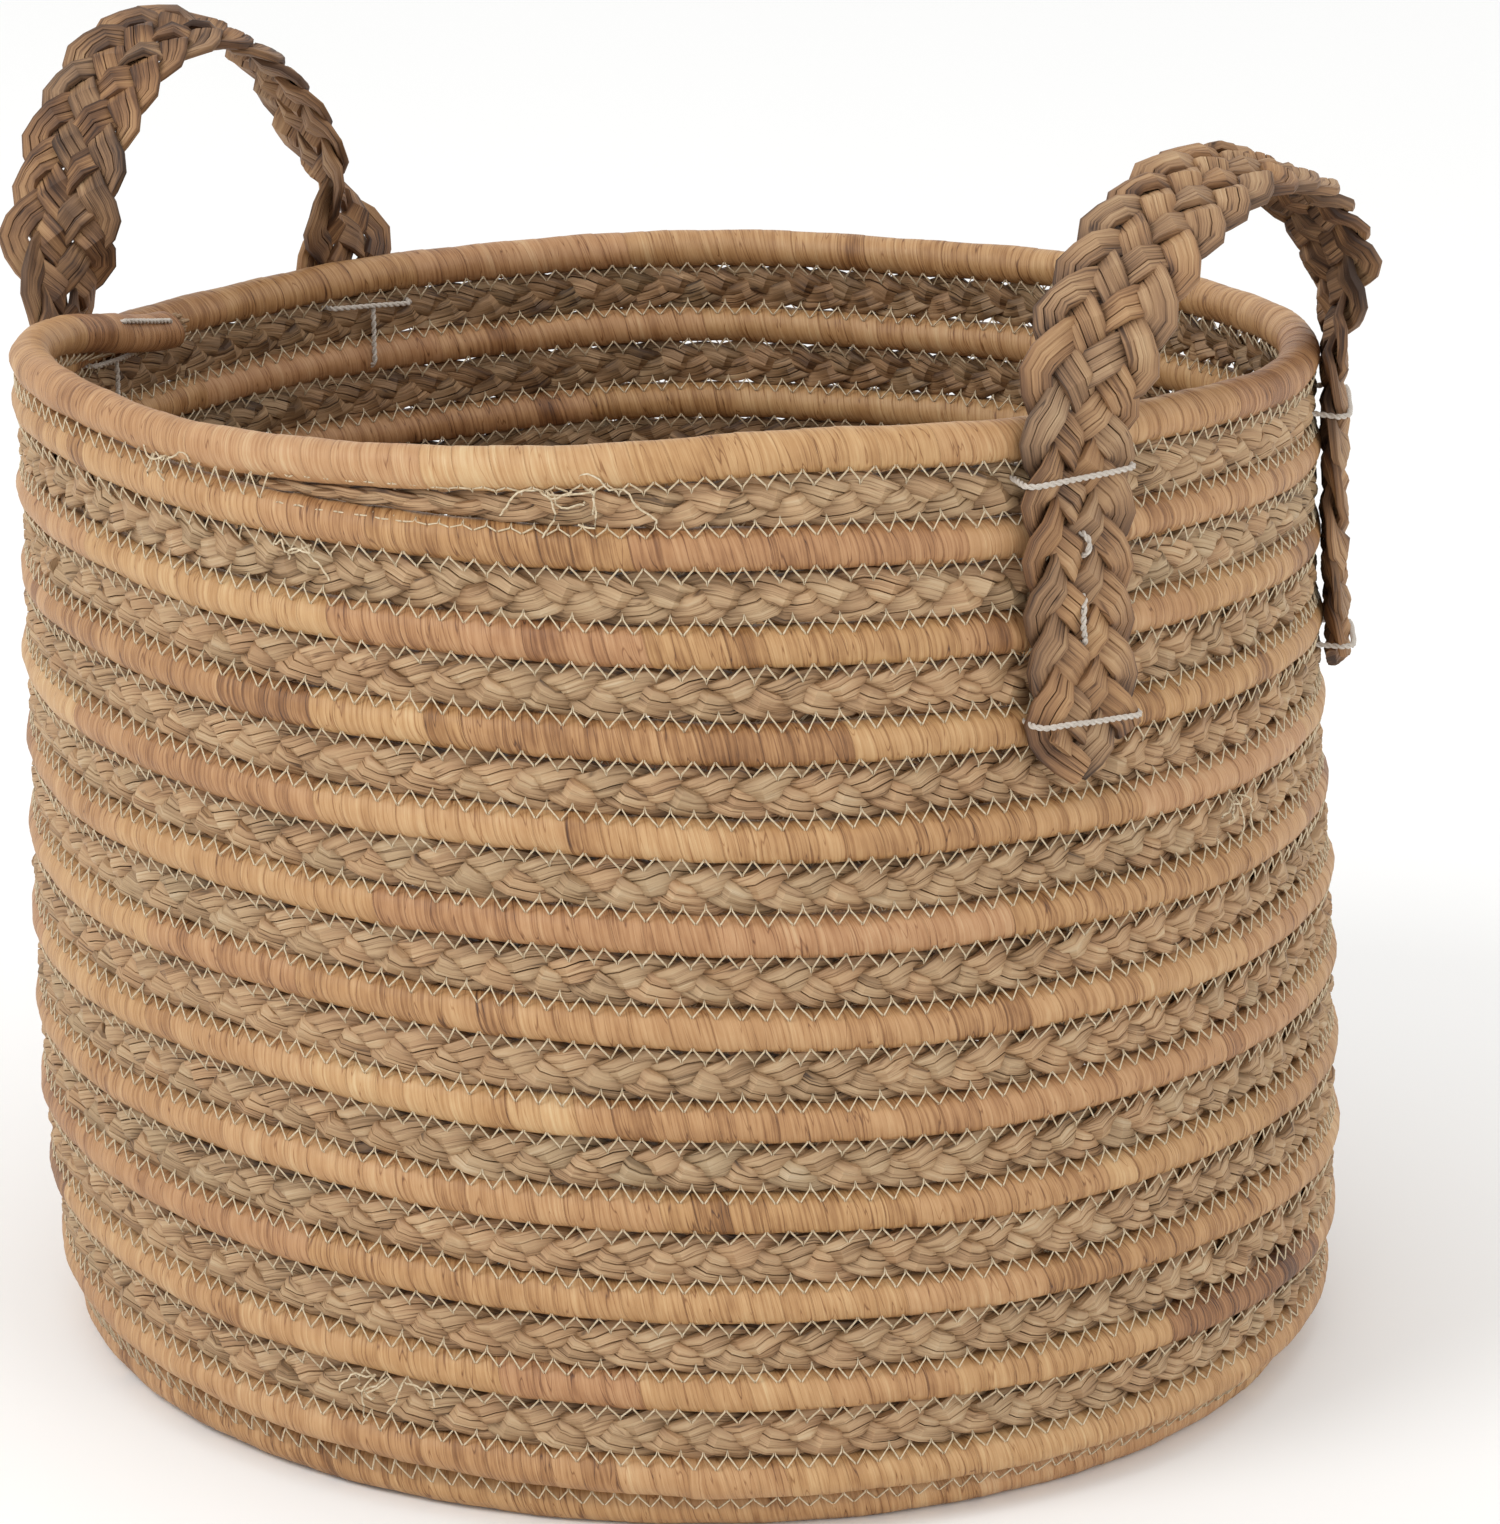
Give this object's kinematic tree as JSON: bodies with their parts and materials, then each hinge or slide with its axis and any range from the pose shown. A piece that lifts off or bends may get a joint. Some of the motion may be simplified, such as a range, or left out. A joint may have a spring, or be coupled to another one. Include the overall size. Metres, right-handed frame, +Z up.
{
  "type": "laundry basket",
  "caption": "Tall round laundry basket sewn up from wrapped coil and leaf plait in one spiral, with a flat coiled base and two flat plaited strap handles bound to the outside of the wall.",
  "frame": {"origin": "the middle of the base, on the floor", "axes": "+Z up; the middle of one handle lies on +X and the other handle is near -X"},
  "size_m": [0.4251, 0.3987, 0.3783],
  "materials": {
    "wrapped_coil": "bark-strip wrapped coil, satin",
    "seagrass_plait": "three-strand leaf plait, dry and matt",
    "handle_plait": "five-strand flat leaf plait, dry and matt",
    "white_cord": "twisted off-white cord"
  },
  "bodies": {
    "basket": {"coil_start": "wrapped_coil", "coil_turn_01": "wrapped_coil", "coil_turn_02": "wrapped_coil", "coil_turn_03": "wrapped_coil", "coil_turn_04": "wrapped_coil", "coil_turn_05": "wrapped_coil", "coil_turn_06": "wrapped_coil", "coil_turn_07": "wrapped_coil", "coil_turn_08": "wrapped_coil", "coil_turn_09": "wrapped_coil", "coil_turn_10": "wrapped_coil", "coil_turn_11": "wrapped_coil", "coil_turn_12": "wrapped_coil", "coil_turn_13": "wrapped_coil", "coil_turn_14": "wrapped_coil", "coil_turn_15": "wrapped_coil", "coil_turn_16": "wrapped_coil", "coil_turn_17": "wrapped_coil", "coil_turn_18": "wrapped_coil", "coil_turn_19": "wrapped_coil", "coil_turn_20": "wrapped_coil", "coil_turn_21": "wrapped_coil", "coil_turn_22": "wrapped_coil", "coil_turn_23": "wrapped_coil", "coil_turn_24": "wrapped_coil", "coil_turn_25": "wrapped_coil", "coil_turn_26": "wrapped_coil", "handle_1_bend_a": "handle_plait", "handle_1_bend_b": "handle_plait", "handle_1_leg_a": "handle_plait", "handle_1_leg_b": "handle_plait", "handle_1_lower_cord_a": "white_cord", "handle_1_lower_cord_b": "white_cord", "handle_1_upper_cord_a": "white_cord", "handle_1_upper_cord_b": "white_cord", "handle_2_bend_a": "handle_plait", "handle_2_bend_b": "handle_plait", "handle_2_leg_a": "handle_plait", "handle_2_leg_b": "handle_plait", "handle_2_lower_cord_a": "white_cord", "handle_2_lower_cord_b": "white_cord", "handle_2_upper_cord_a": "white_cord", "handle_2_upper_cord_b": "white_cord", "plait_turn_01": "seagrass_plait", "plait_turn_02": "seagrass_plait", "plait_turn_03": "seagrass_plait", "plait_turn_04": "seagrass_plait", "plait_turn_05": "seagrass_plait", "plait_turn_06": "seagrass_plait", "plait_turn_07": "seagrass_plait", "plait_turn_08": "seagrass_plait", "plait_turn_09": "seagrass_plait", "plait_turn_10": "seagrass_plait", "plait_turn_11": "seagrass_plait", "rim_end_cord": "white_cord"},
    "handle_1": {"handle_1_loop": "handle_plait"},
    "handle_2": {"handle_2_loop": "handle_plait"}
  },
  "joints": [
    {"name": "handle_1_swing", "type": "hinge", "parent": "basket", "child": "handle_1", "pos_m": [0.16537, -0.00863, 0.31578], "axis": [0.0378, 0.9986, -0.0376], "range_deg": [-60, 75], "deforming": ["handle_1_bend_a", "handle_1_bend_b"]},
    {"name": "handle_2_swing", "type": "hinge", "parent": "basket", "child": "handle_2", "pos_m": [-0.19414, 0.02339, 0.2983], "axis": [-0.1798, -0.9834, 0.024], "range_deg": [-60, 75], "deforming": ["handle_2_bend_a", "handle_2_bend_b"]}
  ]
}
